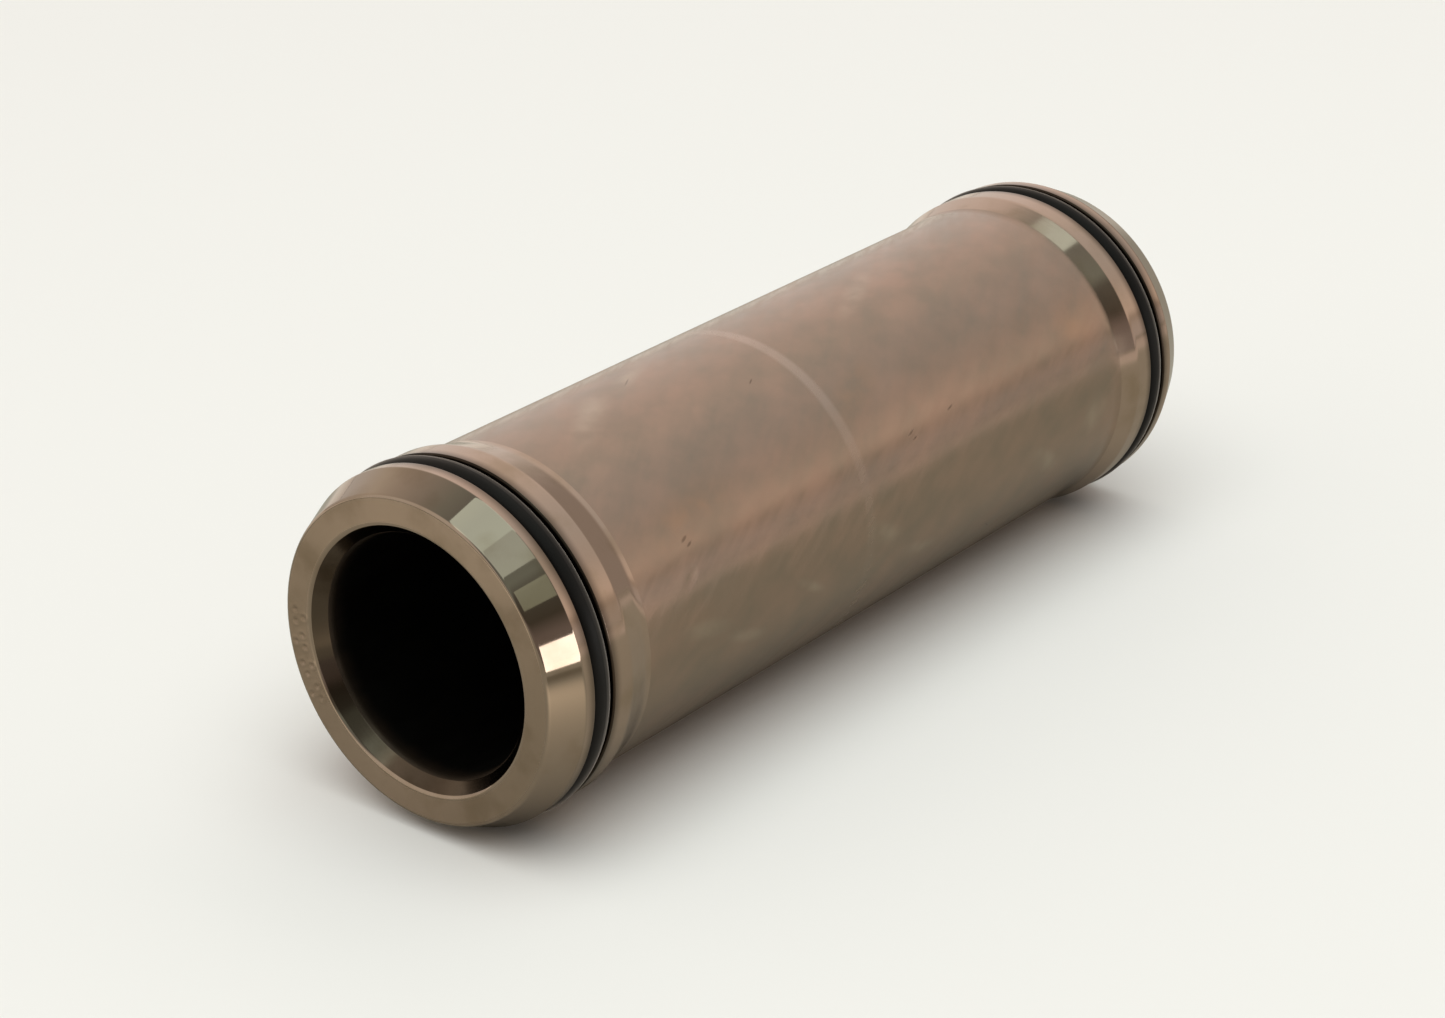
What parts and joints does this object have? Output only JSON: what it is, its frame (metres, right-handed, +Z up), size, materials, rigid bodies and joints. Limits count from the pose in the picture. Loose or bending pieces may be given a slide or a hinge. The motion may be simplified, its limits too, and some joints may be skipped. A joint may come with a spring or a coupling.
{
  "type": "o-ring sealed connecting tube",
  "caption": "Thick-walled steel tube for a fluid line: each end has a raised collar, a rubber O-ring in a groove, a tapered nose and an open through-bore.",
  "frame": {"origin": "on the tube's axis, midway between the two end faces", "axes": "+X along the tube's axis, from the marked end to the plain end; +Z up as the tube lies on a surface; +Y completes the right-handed frame"},
  "size_m": [0.195, 0.0658, 0.0658],
  "materials": {
    "turned_steel": "ground satin steel with turned end faces and polished noses",
    "black_rubber": "smooth moulded nitrile"
  },
  "bodies": {
    "root": {"barrel": "turned_steel", "o_ring_marked_end": "black_rubber", "o_ring_plain_end": "black_rubber"}
  },
  "joints": []
}
